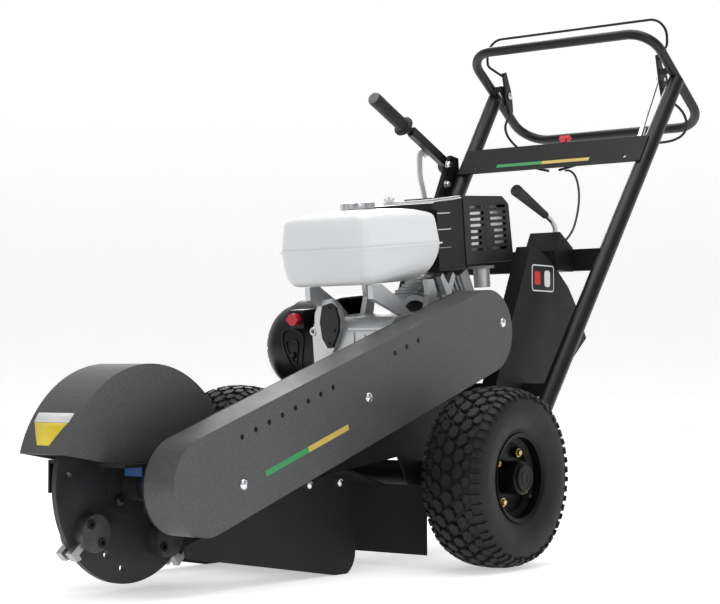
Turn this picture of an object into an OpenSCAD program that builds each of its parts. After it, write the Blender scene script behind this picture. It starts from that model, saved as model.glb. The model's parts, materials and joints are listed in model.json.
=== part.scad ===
// Walk-behind stump grinder with a belt-driven cutter wheel.
// +X is the machine's left side (belt guard), -Y is forward (cutter), +Z is up.
// Every module is drawn from the ground point under the axle; at_axle() moves it so that the
// origin is the centre of the footprint.

/* [Wheels] */
// Outside radius of the tyre
tyre_r = 165; // [160:1:175]
// Width of the tyre
tyre_w = 127; // [115:1:130]
// Distance from the centre line to the middle of a tyre
track_half = 311; // [306:1:318]
// Radius of the rim's outer flange
rim_r = 81; // [78:1:84]
// Radius of the stub axle that a wheel turns on
axle_r = 12.5; // [10:0.5:15]

/* [Cutter] */
// Distance from the axle to the cutter shaft
cutter_y = -635; // [-650:1:-620]
// Height of the cutter shaft
cutter_z = 173; // [172:1:180]
// Radius of the cutter disc
disc_r = 165; // [155:1:166]
// Thickness of the cutter disc
disc_t = 10; // [8:1:12]
// Radius of the cutter shaft
shaft_r = 15; // [12:0.5:17.5]
// Outside radius of the hood
hood_r = 197; // [192:1:205]
// Half of the hood's width
hood_half = 52.7; // [50:0.1:56]

/* [Belt drive] */
// Slope of the belt guard
guard_tilt = 17.9; // [15:0.1:20]
// Half of the belt guard's height
guard_half = 81; // [78:1:84]
// Distance between the guard's two end centres
guard_len = 854; // [840:1:870]
// Distance along the guard from the cutter shaft to the crankshaft
crank_u = 767; // [755:1:775]
// Pitch radius of the cutter pulley
cutter_pulley_r = 60; // [50:1:64]
// Pitch radius of the engine pulley
engine_pulley_r = 48; // [40:1:60]

/* [Engine] */
// Slope of the engine and its deck
engine_tilt = 5.7; // [0:0.1:8]
// Length of the fuel tank
tank_len = 262; // [250:1:270]
// Width of the fuel tank
tank_w = 222; // [210:1:230]

/* [Handle] */
// Radius of the handle tubes
handle_r = 17.5; // [15:0.5:17.5]
// Radius of the handlebar's tube
bar_r = 11; // [10:0.5:13]

/* [Hidden] */

$fn = 64;
running = 0.05;              // radial clearance of a shaft in its bore
sheet = 4;                   // thickness of the folded steel sheets
black = "#26272a";
steel = "#b9bcc0";
cast = "#a9abae";
rubber = "#1c1c1d";

axle_z = tyre_r;
guard_in = 115;              // inner face of the belt guard cover
guard_out = 180;             // outer face of the belt guard cover

// Handle: each tube runs from its foot to a butt joint under the handlebar
tube_foot = [212.2, 325.6, 286];
tube_top = [241.6, 843.5, 1007];
tube_dir = unit(tube_top - tube_foot);
bar_side = 239.4;            // half width of the handlebar, to its tube's centre
bar_front = [bar_side, 727, 1099];
bar_rear = [bar_side, 979, 920];

// The overall length sets the origin
front_y = cutter_y - hood_r;
rear_y = bar_rear.y + bar_r;
mid_y = (front_y + rear_y) / 2;

crank_y = cutter_y + crank_u * cos(guard_tilt);
crank_z = cutter_z + crank_u * sin(guard_tilt);

tooth_count = 4;             // tooth pockets on each side of the disc
pocket_ring = 122;           // distance of a pocket's centre from the shaft
pocket_r = 31;
pocket_t = 21;
pocket_phase = -51.8;        // angle of the first pocket about the shaft

bail_y = 845;                // pivot of the bail bar
bail_z = 1012;
bail_plate_x = 204;

lever_x = -272;              // plane of the large lever
lever_y = 686;
lever_z = 838;
box_lever_x = 134;           // plane of the small lever
box_lever_y = 500;
box_lever_z = 626;

module at_axle() {
    translate([0, -mid_y, 0]) children();
}

// Frame along the belt guard: x across the machine, y along the guard, z square to it
module along_guard(u = 0, v = 0) {
    translate([0, cutter_y, cutter_z]) rotate([guard_tilt, 0, 0]) translate([0, u, v]) children();
}

// Frame of the engine, with its origin on the crankshaft
module on_engine() {
    translate([0, crank_y, crank_z]) rotate([engine_tilt, 0, 0]) children();
}

// Cylinder along X from x1 to x2
module bar_x(x1, x2, r, fn = 64) {
    translate([x1, 0, 0]) rotate([0, 90, 0]) cylinder(h = x2 - x1, r = r, $fn = fn);
}

// Sheet in the YZ plane, from x1 to x2, with its outline given as [y, z] points
module sheet_x(x1, x2, points) {
    translate([x1, 0, 0]) rotate([90, 0, 90]) linear_extrude(x2 - x1) polygon(points);
}

// Block with its four long edges along X rounded
module round_block_x(x1, x2, y1, y2, z1, z2, r) {
    translate([x1, 0, 0]) rotate([90, 0, 90]) linear_extrude(x2 - x1)
        union() {
            translate([y1 + r, z1]) square([y2 - y1 - 2 * r, z2 - z1]);
            translate([y1, z1 + r]) square([y2 - y1, z2 - z1 - 2 * r]);
            for (y = [y1 + r, y2 - r], z = [z1 + r, z2 - r]) translate([y, z]) circle(r);
        }
}

// Hexagon-head or dome-head screw along +X from the origin
module dome_screw(r, h) {
    rotate([0, 90, 0]) rotate_extrude()
        polygon(concat([[0, 0], [r, 0], [r, h * 0.35]],
            [for (a = [15 : 15 : 90]) [r * cos(a), h * 0.35 + h * 0.65 * sin(a)]]));
}

function unit(v) = v / norm(v);
function arc(cx, cy, r, a1, a2, n) =
    [for (i = [0 : n]) [cx + r * cos(a1 + (a2 - a1) * i / n), cy + r * sin(a1 + (a2 - a1) * i / n)]];

// Rod between two points
module rod(a, b, r) {
    d = b - a;
    translate(a) rotate([0, acos(d.z / norm(d)), atan2(d.y, d.x)])
        cylinder(h = norm(d), r = r, $fn = 32);
}

// Bend of a tube at corner p, coming from a and leaving to b
module elbow(a, p, b, bend, r) {
    u = unit(p - a);
    w = unit(b - p);
    turn = acos(u * w);
    inward = unit(w - u * (u * w));
    start = p - u * bend * tan(turn / 2);
    centre = start + inward * bend;
    side = cross(-inward, u);
    multmatrix([
        [-inward.x, u.x, side.x, centre.x],
        [-inward.y, u.y, side.y, centre.y],
        [-inward.z, u.z, side.z, centre.z]])
        rotate_extrude(angle = turn) translate([bend, 0]) circle(r, $fn = 32);
}

function trim(a, p, b, bend) = bend * tan(acos(unit(p - a) * unit(b - p)) / 2);

lap = 0.3;                   // straight lengths of a bent tube reach this far into its bends

// Tube through points, with one bend radius per inner point
module bent_tube(points, bends, r) {
    n = len(points);
    for (i = [0 : n - 2]) {
        d = unit(points[i + 1] - points[i]);
        from = i == 0 ? points[0]
            : points[i] + d * (trim(points[i - 1], points[i], points[i + 1], bends[i - 1]) - lap);
        to = i == n - 2 ? points[n - 1]
            : points[i + 1] - d * (trim(points[i], points[i + 1], points[i + 2], bends[i]) - lap);
        rod(from, to, r - 0.02);
    }
    for (i = [1 : n - 2]) elbow(points[i - 1], points[i], points[i + 1], bends[i - 1], r);
}

// Closed loop of tube with a bend at every point
module bent_loop(points, bends, r) {
    n = len(points);
    for (i = [0 : n - 1]) {
        a = points[(i + n - 1) % n];
        p = points[i];
        b = points[(i + 1) % n];
        c = points[(i + 2) % n];
        d = unit(b - p);
        rod(p + d * (trim(a, p, b, bends[i]) - lap), b - d * (trim(p, b, c, bends[(i + 1) % n]) - lap),
            r - 0.02);
        elbow(a, p, b, bends[i], r);
    }
}

// Flexible cable: an eight-sided tube swept along the route's points
module swept_cable(route, r) {
    n = len(route);
    sides = 8;
    tangents = [for (i = [0 : n - 1])
        unit(route[min(i + 1, n - 1)] - route[max(i - 1, 0)])];
    rings = [for (i = [0 : n - 1])
        let (t = tangents[i], s = unit(cross(t, [0.31, 0.2, 0.93])), q = cross(s, t))
        for (k = [0 : sides - 1])
            route[i] + r * (s * cos(360 * k / sides) + q * sin(360 * k / sides))];
    faces = concat(
        [[for (k = [0 : sides - 1]) k]],
        [for (i = [0 : n - 2], k = [0 : sides - 1])
            [i * sides + k, (i + 1) * sides + k,
             (i + 1) * sides + (k + 1) % sides, i * sides + (k + 1) % sides]],
        [[for (k = [sides - 1 : -1 : 0]) (n - 1) * sides + k]]);
    polyhedron(points = rings, faces = faces, convexity = 4);
}

// ---------------------------------------------------------------- chassis

// Engine deck, belly plate, side plates and rear wall, welded into one frame
module deck() color(black) {
    on_engine() difference() {
        translate([-147, -150, -118]) cube([255, 378, 6]);
        for (x = [-90, 70], y = [-75, 105])
            translate([x, y, -119]) cylinder(h = 8, r = 5.5);
    }
    for (side = [0, 1]) mirror([side, 0, 0]) difference() {
        sheet_x(146, 150, [
            [-345, 170], [-84, 200], [-14, 90], [45, 88], [70, 110], [252, 298], [252, 330],
            [120, 306], [0, 290], [-90, 261], [-345, 178]]);
        translate([0, 0, axle_z]) bar_x(-160, 160, 24 + running);
    }
    sheet_x(-147, 108, [[246, 302], [250, 302], [250, 326], [246, 326]]);
    sheet_x(-147, 147, [[-343, 171.5], [-339, 171.5], [-339, 176], [-86, 257], [-86, 260.5], [-343, 176]]);
}

module axle() color(black) {
    translate([0, 0, axle_z]) {
        bar_x(-236, 236, 24);
        for (side = [0, 180]) rotate([0, 0, side]) bar_x(236, 364, axle_r);
    }
}

// Folded side plate on each side, standing on the deck and carrying the control box
module uprights() color(black)
    for (side = [0, 1]) mirror([side, 0, 0]) difference() {
        union() {
            sheet_x(150.3, 154.3, [
                [226, 300], [240, 332], [369, 613], [388, 613], [407, 606], [438, 592], [478, 565.5],
                [518, 535.5], [547, 500.5], [592, 428.5], [455, 322], [380, 300]]);
            sheet_x(120.3, 150.3, [[240, 332], [369, 613], [373, 613], [244, 332]]);
        }
        lower_crossbar(0.02);
    }

module handle_axes(r) {
    for (side = [0, 1]) mirror([side, 0, 0]) rod(tube_foot, tube_top, r);
}

module lower_crossbar(gap) {
    sheet_x(-210, 210, [
        [336 - gap, 307 - gap], [362 + gap, 307 - gap], [362 + gap, 333 + gap], [336 - gap, 333 + gap]]);
}

// Two box bars across the handle tubes, at their feet and behind the control box
module crossmember() color(black) difference() {
    union() {
        sheet_x(-216, 216, [[536, 570], [556, 570], [556, 616], [536, 616]]);
        lower_crossbar(0);
    }
    handle_axes(handle_r + 0.02);
}

// Folded box that the small lever comes out of
box_x = 82;
module control_box() color(black) difference() {
    sheet_x(box_x, box_x + 74,
        [[484, 568], [535.8, 568], [535.8, 628], [516, 652], [484, 652]]);
    sheet_x(box_x + 3, box_x + 71,
        [[487, 560], [532.8, 560], [532.8, 627], [514.6, 649], [487, 649]]);
    translate([box_lever_x - 6, 488, 645]) cube([12, 24, 12]);
    translate([0, box_lever_y, box_lever_z]) bar_x(box_x - 1, box_x + 80, 5 + running);
}

rail_v1 = -34;
rail_h = 60;
rail_drop = 36;
plate_z = 205;

// Two box rails from the deck to the cutter's bearings, with their slotted bearing plates; the
// right rail sits lower than the left one
module boom() color(black) {
    for (side = [0, 1]) mirror([side, 0, 0]) {
        v1 = side == 0 ? rail_v1 : rail_v1 - rail_drop;
        difference() {
            along_guard() translate([58, 105, v1]) cube([50, 480, rail_h]);
            along_guard() translate([62, 100, v1 + 4]) cube([42, 490, rail_h - 8]);
            along_guard(arm_u, arm_v) bar_x(100, 112, arm_pin_r + running);
        }
        difference() {
            translate([53.2, side == 0 ? -752 : -712, plate_z])
                cube([54.8, side == 0 ? 215 : 222, 6]);
            for (y = [cutter_y - 55, cutter_y + 55], x = [76, 86])
                translate([x, y, plate_z - 1]) cylinder(h = 8, r = 5.5);
            for (y = [cutter_y - 55, cutter_y + 55])
                translate([76, y - 5.5, plate_z - 1]) cube([10, 11, 8]);
        }
    }
    sheet_x(-108, -104, [[-712, 156], [-560, 156], [-560, 206], [-712, 206]]);
    along_guard() translate([-59, 400, rail_v1]) cube([118, 6, rail_h - rail_drop]);
}

module guard_outline(x1, x2, r) {
    along_guard() {
        bar_x(x1, x2, r, 96);
        translate([0, guard_len, 0]) bar_x(x1, x2, r, 96);
        translate([x1, 0, -r]) cube([x2 - x1, guard_len, 2 * r]);
    }
}

// Places along the guard for its three screws
guard_screws = [[79, -25.5], [442, 2], [902, 3]];

module guard_back() color(black) difference() {
    guard_outline(guard_in - 4, guard_in, guard_half);
    along_guard() bar_x(100, 130, 26);
    along_guard(crank_u) bar_x(100, 130, 34);
    along_guard(arm_u, arm_v) bar_x(100, 130, arm_pin_r + running);
}

module guard_cover() color(black) difference() {
    guard_outline(guard_in, guard_out, guard_half);
    guard_outline(guard_in - 1, guard_out - 3, guard_half - 3);
    along_guard() {
        for (i = [0 : 7]) translate([0, 100 + i * 36, 48.7 + i * 0.24]) bar_x(170, 190, 3.2);
        for (i = [0 : 2]) translate([0, 543.5 + i * 38, 52.5 + i * 0.3]) bar_x(170, 190, 3.2);
        for (s = guard_screws) translate([0, s[0], s[1]]) bar_x(170, 190, 4.2);
    }
}

module panel_bolts() color(steel) {
    for (s = guard_screws) along_guard(s[0], s[1]) {
        translate([guard_out, 0, 0]) dome_screw(7.5, 6.5);
        bar_x(guard_out - 12, guard_out + 0.5, 4);
    }
    for (side = [0, 1], y = [-267, -352]) mirror([side, 0, 0])
        translate([155, y, 162]) {
            dome_screw(7.5, 6.5);
            bar_x(-5, 0.5, 4);
        }
}

// Curved hood over the cutter, with flat sides, open underneath and at its rear
hood_front = 164.2;
hood_rear = 38;
module hood() color(black) {
    outline = concat(arc(cutter_y, cutter_z, hood_r, hood_rear, hood_front, 40),
        [[-716, 208], [-455, 159]]);
    inner = concat(arc(cutter_y, cutter_z, hood_r - sheet, hood_rear - 8, hood_front + 4, 40),
        [[-716, 190], [-440, 140]]);
    difference() {
        sheet_x(-hood_half, hood_half, outline);
        sheet_x(-hood_half + sheet, hood_half - sheet, inner);
    }
}

// Flat steel skirts that close the sides and touch the ground at their rear corner
module side_skirts() color(black)
    for (side = [0, 1]) mirror([side, 0, 0]) difference() {
        sheet_x(150.3, 155, concat(
            side == 0 ? [[-660, 80], [-660, 60], [-278, 0]] : [[-585, 102], [-585, 48], [-278, 0]],
            arc(-262, 38, 42, -70, 0, 6),
            [[-220, 128], [-229, 174], [-345, 174], [-400, 160]]));
        for (y = [-267, -352]) translate([0, y, 162]) bar_x(145, 160, 4.2);
    }

// Bent plate that stops the chips ahead of the wheels
module chip_deflector() color(black) {
    sheet_x(-238, 238, [[-120, 27], [-116, 27], [-116, 152], [-120, 152]]);
    sheet_x(-145.5, 145.5, [[-120, 148], [-116, 151], [-250, 190], [-252, 186]]);
}

module bearing_housings() color("#2f62a8")
    for (side = [0, 1]) mirror([side, 0, 0]) difference() {
        union() {
            translate([62, cutter_y - 70, plate_z - 15]) cube([38, 140, 15]);
            translate([0, cutter_y, cutter_z]) bar_x(62, 100, 31.5);
            translate([66, cutter_y - 34, cutter_z]) cube([30, 68, plate_z - cutter_z]);
        }
        translate([0, cutter_y, cutter_z]) bar_x(60, 102, shaft_r + running);
        for (y = [cutter_y - 55, cutter_y + 55])
            translate([81, y, plate_z - 20]) cylinder(h = 24, r = 5.5);
    }

// ---------------------------------------------------------------- handle

module handle_tubes() color(black)
    for (side = [0, 1]) mirror([side, 0, 0]) difference() {
        rod(tube_foot, tube_top, handle_r);
        rod(tube_foot - tube_dir * 2, tube_top + tube_dir * 2, handle_r - 2.5);
        rod(bar_front, bar_rear, bar_r + 0.02);
    }

// Flat plate welded across the front of the tubes
bar_tilt = atan2(tube_dir.z, tube_dir.y);
crossbar_h = 72;
crossbar_y = 680.7;          // lower edge of the plate
crossbar_z = 810.8;
module on_crossbar() {
    translate([0, crossbar_y, crossbar_z]) rotate([bar_tilt - 90, 0, 0]) children();
}
module crossbar() color(black) on_crossbar()
    difference() {
        translate([-238, -4, 0]) cube([476, 4, crossbar_h]);
        for (x = [-196, 196]) translate([x, -6, 16]) rotate([-90, 0, 0]) cylinder(h = 8, r = 4.25);
    }

// Closed loop of tube, with the lugs that the bail bar turns on
module handlebar() color(black) {
    bent_loop([bar_front, bar_rear, [-bar_side, bar_rear.y, bar_rear.z],
        [-bar_side, bar_front.y, bar_front.z]], [60, 65, 65, 60], bar_r);
    for (side = [0, 1]) mirror([side, 0, 0]) {
        difference() {
            translate([0, bail_y, bail_z]) sheet_x(bail_plate_x + 4.5, bail_plate_x + 8.5, [
                [-14, -4], [-26, 8], [-26, 22], [-12, 22], [10, 12], [16, -2], [12, -24], [-10, -24]]);
            translate([0, bail_y, bail_z]) bar_x(bail_plate_x, bail_plate_x + 12, 4);
        }
        translate([bail_plate_x + 4.5, bail_y - 25, bail_z + 9]) cube([24, 12, 12]);
    }
}

module bail_bolts() color(steel)
    for (side = [0, 1]) mirror([side, 0, 0]) translate([0, bail_y, bail_z]) {
        bar_x(bail_plate_x - 4.5, bail_plate_x + 8.5, 4);
        translate([bail_plate_x - 4.4, 0, 0]) mirror([1, 0, 0]) dome_screw(8, 4.4);
    }

module bail_bar() color(black) {
    bent_tube([
        [-bail_plate_x, 831, 1054], [-238, 808, 1082], [-238, 804, 1142], [238, 804, 1142],
        [238, 808, 1082], [bail_plate_x, 831, 1054]],
        [16, 42, 42, 16], 3);
    for (side = [0, 1]) mirror([side, 0, 0]) difference() {
        sheet_x(bail_plate_x - 3, bail_plate_x + 3, [
            [820, 1064], [832, 1068], [857, 1016], [862, 974], [846, 970], [834, 1008]]);
        translate([0, bail_y, bail_z]) bar_x(bail_plate_x - 10, bail_plate_x + 10, 4 + running);
    }
}

// Silver strut: a rod that slides in a sleeve fixed to the crossbar
strut_x = 190;
strut_r = 3.2;
strut_top = [strut_x, 858, 1018];
strut_foot = [strut_x, 746.5, 838];
strut_dir = unit(strut_top - strut_foot);
module strut_sleeve() color(steel) difference() {
    union() {
        rod(strut_foot, strut_foot + strut_dir * 70, 6.5);
        on_crossbar() translate([strut_x - 5, 0.02, 58]) cube([10, 34, 8]);
    }
    rod(strut_foot + strut_dir * 6, strut_foot + strut_dir * 71, strut_r + running);
}

module strut_rod() color(steel) {
    rod(strut_foot + strut_dir * 14, strut_top, strut_r);
    translate(strut_top) bar_x(-4, bail_plate_x - 3.6 - strut_x, 5);
}

// Clip-shaped stop switch on the crossbar's top edge
module stop_switch() color("#d3202c") on_crossbar()
    translate([22, -2, crossbar_h + 0.4]) {
        translate([-4, -4, 0]) cube([8, 8, 14]);
        translate([-13, -5, 9]) cube([26, 10, 9]);
    }

// Bail cables and the stop switch's wire, each held at both ends
module control_cables() color(black) {
    swept_cable([
        [-204, 852, 966], [-206, 841, 952], [-207, 836, 936], [-204, 839, 919], [-196, 846, 903],
        [-184, 854, 888], [-166, 846, 874], [-138, 812, 858], [-96, 760, 838], [-46, 716, 818],
        [-6, 703, 808]], 3);
    swept_cable([
        [204, 852, 966], [205, 876, 968], [208, 897, 963], [215, 908, 954], [221, 918, 941],
        [223, 926, 924], [220, 929, 908], [212, 925, 894], [201, 912, 884], [188, 895, 878],
        [166, 862, 872], [132, 812, 858], [92, 760, 838], [52, 720, 818], [20, 703, 808]], 3);
    swept_cable([
        [40, 700, 806], [58, 692, 802], [76, 684, 786], [94, 666, 752], [106, 642, 712],
        [112, 612, 668], [112, 580, 640], [106, 552, 620]], 2.5);
}

// ---------------------------------------------------------------- levers

link_top = [lever_x - 14, 596, 856];
link_dir = unit([0, 15, -73]);
guide_s = 215;               // distance of the guide lug below the link rod's top
link_r = 6.3;

// Plate beside the right handle tube, with a guide lug for the link rod
module lever_bracket() color(black) {
    difference() {
        union() {
            sheet_x(-262, -252, [
                [lever_y - 32, lever_z - 12], [lever_y - 12, lever_z + 20],
                [lever_y + 18, lever_z + 16], [lever_y + 22, lever_z - 22],
                [600, 640], [566, 650]]);
            translate(link_top + link_dir * guide_s)
                translate([-10, -12, -10]) cube([34, 24, 20]);
        }
        translate([0, lever_y, lever_z]) bar_x(-264, -250, 8);
        rod(link_top + link_dir * (guide_s - 40), link_top + link_dir * (guide_s + 40),
            link_r + running);
    }
    translate([0, lever_y, lever_z]) bar_x(-276, -252, 8);
    translate([0, lever_y - 30, lever_z - 100]) bar_x(-268, -252, 7);
}

lever_end = [lever_x - 6, 409, 963];
lever_root = [lever_x - 6, lever_y, lever_z];
lever_dir = unit(lever_end - lever_root);
lever_slope = -atan2(lever_dir.z, -lever_dir.y);
module swing_lever() color(black) difference() {
    union() {
        rod(lever_root + lever_dir * 125, lever_end - lever_dir * 20, 8);
        translate([0, lever_y, lever_z]) rotate([lever_slope, 0, 0])
            translate([lever_x - 7, -155, -11]) cube([14, 155, 22]);
        translate([0, lever_y, lever_z]) bar_x(lever_x - 14, lever_x + 9.6, 18);
    }
    translate([0, lever_y, lever_z]) bar_x(lever_x - 20, lever_x + 12, 8 + running);
}

module lever_grip() color(rubber) difference() {
    union() {
        rod(lever_end - lever_dir * 122, lever_end, 16);
        rod(lever_end - lever_dir * 128, lever_end - lever_dir * 121.5, 24);
    }
    rod(lever_end - lever_dir * 130, lever_end - lever_dir * 20, 8);
}

module link_rod() color(steel) rod(link_top, link_top + link_dir * (guide_s + 60), link_r);

module brake_lever() color(steel) {
    bent_tube([
        [box_lever_x, box_lever_y, box_lever_z], [box_lever_x, box_lever_y, 666],
        [box_lever_x, 452, 687], [box_lever_x, 440, 692]], [20, 40], 4.8);
    translate([0, box_lever_y, box_lever_z]) bar_x(box_x + 0.5, box_x + 73.5, 5);
}

module brake_grip() color(rubber)
    translate([box_lever_x, 466, 682]) rotate([69, 0, 0]) difference() {
        translate([0, 0, 4]) cylinder(h = 126, r1 = 7.5, r2 = 12.5);
        translate([0, 0, -1]) cylinder(h = 34, r = 5.4);
    }

// ---------------------------------------------------------------- engine

module crankcase() color(cast) on_engine() difference() {
    union() {
        round_block_x(-108, 84, -108, 92, -100, 62, 30);
        translate([-108, -116, -112]) cube([192, 232, 13]);
        bar_x(84, 98, 52);
    }
    round_block_x(-100, 76, -98, 82, -90, 54, 24);
    bar_x(-130, 110, 17.5 + running);
    for (x = [-90, 70], y = [-75, 105])
        translate([x, y, -113]) cylinder(h = 16, r = 5);
}

fin_count = 8;
// Barrel with cooling fins, leaning back, with its rocker cover
module engine_cylinder() color(cast) on_engine() difference() {
    rotate([25, 0, 0]) union() {
        rotate([-90, 0, 0]) translate([0, 0, 60]) cylinder(h = 160, r = 46);
        for (i = [0 : fin_count - 1]) translate([-62, 104 + i * 13, -52]) cube([124, 3.5, 98]);
        translate([-58, 212, -46]) cube([116, 26, 88]);
        translate([-46, 238, -38]) cube([92, 18, 72]);
    }
    translate([-100, 0, -200]) cube([200, 92.2, 400]);
    rotate([25, 0, 0]) rotate([-90, 0, 0]) translate([0, 0, 50]) cylinder(h = 158, r = 36);
}

// Oval plate on the front of the crankcase, held by three screws
module side_cover() color(black) on_engine() difference() {
    translate([84, -62, -10]) rotate([0, 90, 0]) union() {
        cylinder(h = 5, r = 34);
        translate([-40, 0, 0]) cylinder(h = 5, r = 24);
        translate([-40, -24, 0]) cube([40, 48, 5]);
    }
    bar_x(80, 120, 52.2);
}

// Blower housing on the engine's right side
module fan_housing() color(black) on_engine() difference() {
    union() {
        bar_x(-205, -112, 97);
        translate([-205, 0, -40]) cube([93, 94, 137]);
        translate([-168, -103.6, 44]) cube([36, 40, 36]);
    }
    bar_x(-201, -108, 92);
    translate([-201, 4, -36]) cube([97, 86, 129]);
    bar_x(-210, -196, 40);
}

// Recoil starter cover, with the boss that the grip rests on
module recoil_cover() color(black) on_engine() {
    difference() {
        union() {
            bar_x(-222, -205.2, 88);
            bar_x(-238, -222, 70);
            translate([-260, -4, 24]) cube([24, 26, 26]);
        }
        bar_x(-218, -204, 84);
        bar_x(-234, -216, 66);
        for (a = [0 : 30 : 330]) rotate([a, 0, 0])
            translate([-240, -5, 30]) cube([10, 10, 28]);
        translate([-250, -14, 37]) rotate([-90, 0, 0]) cylinder(h = 44, r = 3);
    }
}

module recoil_handle() color(rubber) on_engine() {
    translate([-250, 22.4, 37]) {
        rotate([-90, 0, 0]) cylinder(h = 9, r = 8);
        translate([-10, 8.6, -34]) cube([20, 20, 68]);
    }
}

module rounded_slab(w, l, r, z, h) {
    for (x = [-1, 1], y = [-1, 1])
        translate([x * (w / 2 - r), y * (l / 2 - r), z]) cylinder(h = h, r = r, $fn = 32);
}

tank_y = -75;                // middle of the tank, from the crankshaft
seam_z = 196;                // height of the tank's seam, from the crankshaft

module tank_body(inset) {
    hull() {
        rounded_slab(tank_w - 10 - 2 * inset, tank_len - 10 - 2 * inset, 38, seam_z, 1);
        rounded_slab(tank_w - 22 - 2 * inset, tank_len - 22 - 2 * inset, 40, 254 - inset, 1);
        rounded_slab(tank_w - 80, tank_len - 80, 40, 269 - inset, 1);
    }
    hull() {
        rounded_slab(tank_w - 10 - 2 * inset, tank_len - 10 - 2 * inset, 38, seam_z, 1);
        rounded_slab(tank_w - 26 - 2 * inset, tank_len - 30 - 2 * inset, 38, 146 + inset, 1);
        rounded_slab(tank_w - 70, tank_len - 74, 34, 127 + inset, 1);
    }
}

module fuel_tank() color("white") on_engine() translate([0, tank_y, 0]) {
    difference() {
        union() {
            tank_body(0);
            hull() rounded_slab(tank_w, tank_len, 42, seam_z - 2, 4);
            translate([0, cap_dy, 264]) cylinder(h = 10, r = 27);
        }
        tank_body(6);
        translate([0, cap_dy, 250]) cylinder(h = 40, r = 22);
    }
}

cap_dy = -4;                 // filler neck, from the middle of the tank
module fuel_cap() color(steel) on_engine() translate([0, tank_y + cap_dy, 0]) difference() {
    translate([0, 0, 270.5]) cylinder(h = 15, r = 34);
    translate([0, 0, 270]) cylinder(h = 5, r = 27.4);
    for (a = [0 : 20 : 340]) rotate([0, 0, a]) translate([34.4, 0, 269]) cylinder(h = 20, r = 1.6);
}

// Cast stays that carry the tank and the muffler
module stay(x, points) {
    sheet_x(x - 6, x + 6, points);
}
module engine_stays() color(cast) on_engine() {
    for (x = [-80, 72]) {
        stay(x, [[-150, 100], [-60, 62.2], [-30, 62.2], [-60, 90], [-120, 126], [-150, 126]]);
        stay(x, [[20, 62.2], [50, 62.2], [60, 100], [50, 126], [30, 126], [34, 96]]);
    }
    stay(70, [[96, 62], [112, 62], [112, 92], [130, 128], [122, 136], [104, 112], [86, 136],
        [78, 128], [96, 92]]);
    translate([66, 240, 98]) cylinder(h = 38, r = 17);
    translate([46, 222, 136]) cube([40, 36, 6]);
}

module muffler() color(steel) on_engine() difference() {
    round_block_x(-50, 78, 168, 312, 160, 268, 34);
    round_block_x(-47, 75, 171, 309, 163, 265, 31);
}

slot_rows = 7;
// Pierced guard around the muffler, open towards the machine's right side
module muffler_guard() color(black) on_engine() difference() {
    sheet_x(-56, 90, [[153, 148], [325, 148], [329, 164], [322, 264], [302, 281], [153, 281]]);
    sheet_x(-60, 88, [[155, 150], [323, 150], [327, 164], [320, 263], [301, 279], [155, 279]]);
    for (row = [0 : slot_rows - 1]) {
        z = 250 - row * 12.3;
        narrow = row > 1 && row < 6 ? 10 : 0;
        translate([80, 165, z - 2.8]) cube([20, 58 - narrow, 5.6]);
        translate([80, 247 + narrow, z - 2.8]) cube([20, 66 - narrow, 5.6]);
    }
}

// Sheet shield between the tank and the muffler
module heat_shield() color(black) on_engine() difference() {
    sheet_x(-66, 88, [[66, 140], [151, 140], [151, 280], [66, 272]]);
    sheet_x(-64, 86, [[68, 138], [149, 138], [149, 278], [68, 270]]);
}

module air_cleaner() color(black) on_engine() difference() {
    round_block_x(-190, -76, 74, 200, 146, 262, 18);
    round_block_x(-187, -79, 77, 197, 149, 259, 15);
}

module engine_switch() color("#d3202c") on_engine() translate([-150, -104, 62])
    rotate([90, 0, 0]) union() {
        cylinder(h = 14, r = 12);
        translate([-14, -3.5, 2]) cube([28, 7, 12]);
    }

module crankshaft() color(steel) on_engine() bar_x(-188, 172, 17.5);

// ---------------------------------------------------------------- belt drive

belt_x = [138, 156];         // middle of each belt
belt_t = 8;
belt_w = 9.6;
function belt_outline(r1, r2) = concat(
    arc(0, 0, r1, 90 - belt_slope, 270 + belt_slope, 24),
    arc(crank_u, 0, r2, -90 + belt_slope, 90 - belt_slope, 24));
belt_slope = asin((cutter_pulley_r - engine_pulley_r) / crank_u);

module drive_belts() color(rubber) along_guard()
    for (x = belt_x) translate([x - belt_w / 2, 0, 0]) rotate([90, 0, 90])
        linear_extrude(belt_w) difference() {
            polygon(belt_outline(cutter_pulley_r, engine_pulley_r));
            polygon(belt_outline(cutter_pulley_r - belt_t, engine_pulley_r - belt_t));
        }

// Two-groove pulley on a shaft
module pulley(pitch_r, bore_r) {
    rotate([0, 90, 0]) rotate_extrude($fn = 96) polygon(concat(
        [[bore_r, belt_x[0] - 11], [pitch_r + 2, belt_x[0] - 11]],
        [for (x = belt_x) each [
            [pitch_r + 2, x - 5.3], [pitch_r - belt_t - 0.6, x - 5.3],
            [pitch_r - belt_t - 0.6, x + 5.3], [pitch_r + 2, x + 5.3]]],
        [[pitch_r + 2, belt_x[1] + 11], [bore_r, belt_x[1] + 11]]));
}

module cutter_pulley() color(cast) translate([0, cutter_y, cutter_z]) pulley(cutter_pulley_r, shaft_r);
module engine_pulley() color(cast) on_engine() pulley(engine_pulley_r, 17.5);

idler_u = 455;
idler_v = 20;
idler_r = 18;
arm_u = 385;
arm_v = -4;
arm_pin_r = 6;
module idler_arm() color(black) along_guard() {
    translate([0, arm_u, arm_v]) bar_x(100, 124, arm_pin_r);
    translate([0, idler_u, idler_v]) bar_x(120, 170, 6);
    sheet_x(116, 121, [
        [arm_u - 12, arm_v - 4], [arm_u - 8, arm_v + 10], [idler_u - 6, idler_v + 10],
        [idler_u + 10, idler_v + 4], [idler_u + 8, idler_v - 8], [arm_u + 4, arm_v - 12]]);
}
module idler_pulley() color(steel) along_guard() translate([0, idler_u, idler_v]) difference() {
    bar_x(126, 168, idler_r);
    bar_x(120, 172, 6 + running);
}

// ---------------------------------------------------------------- cutter

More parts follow.
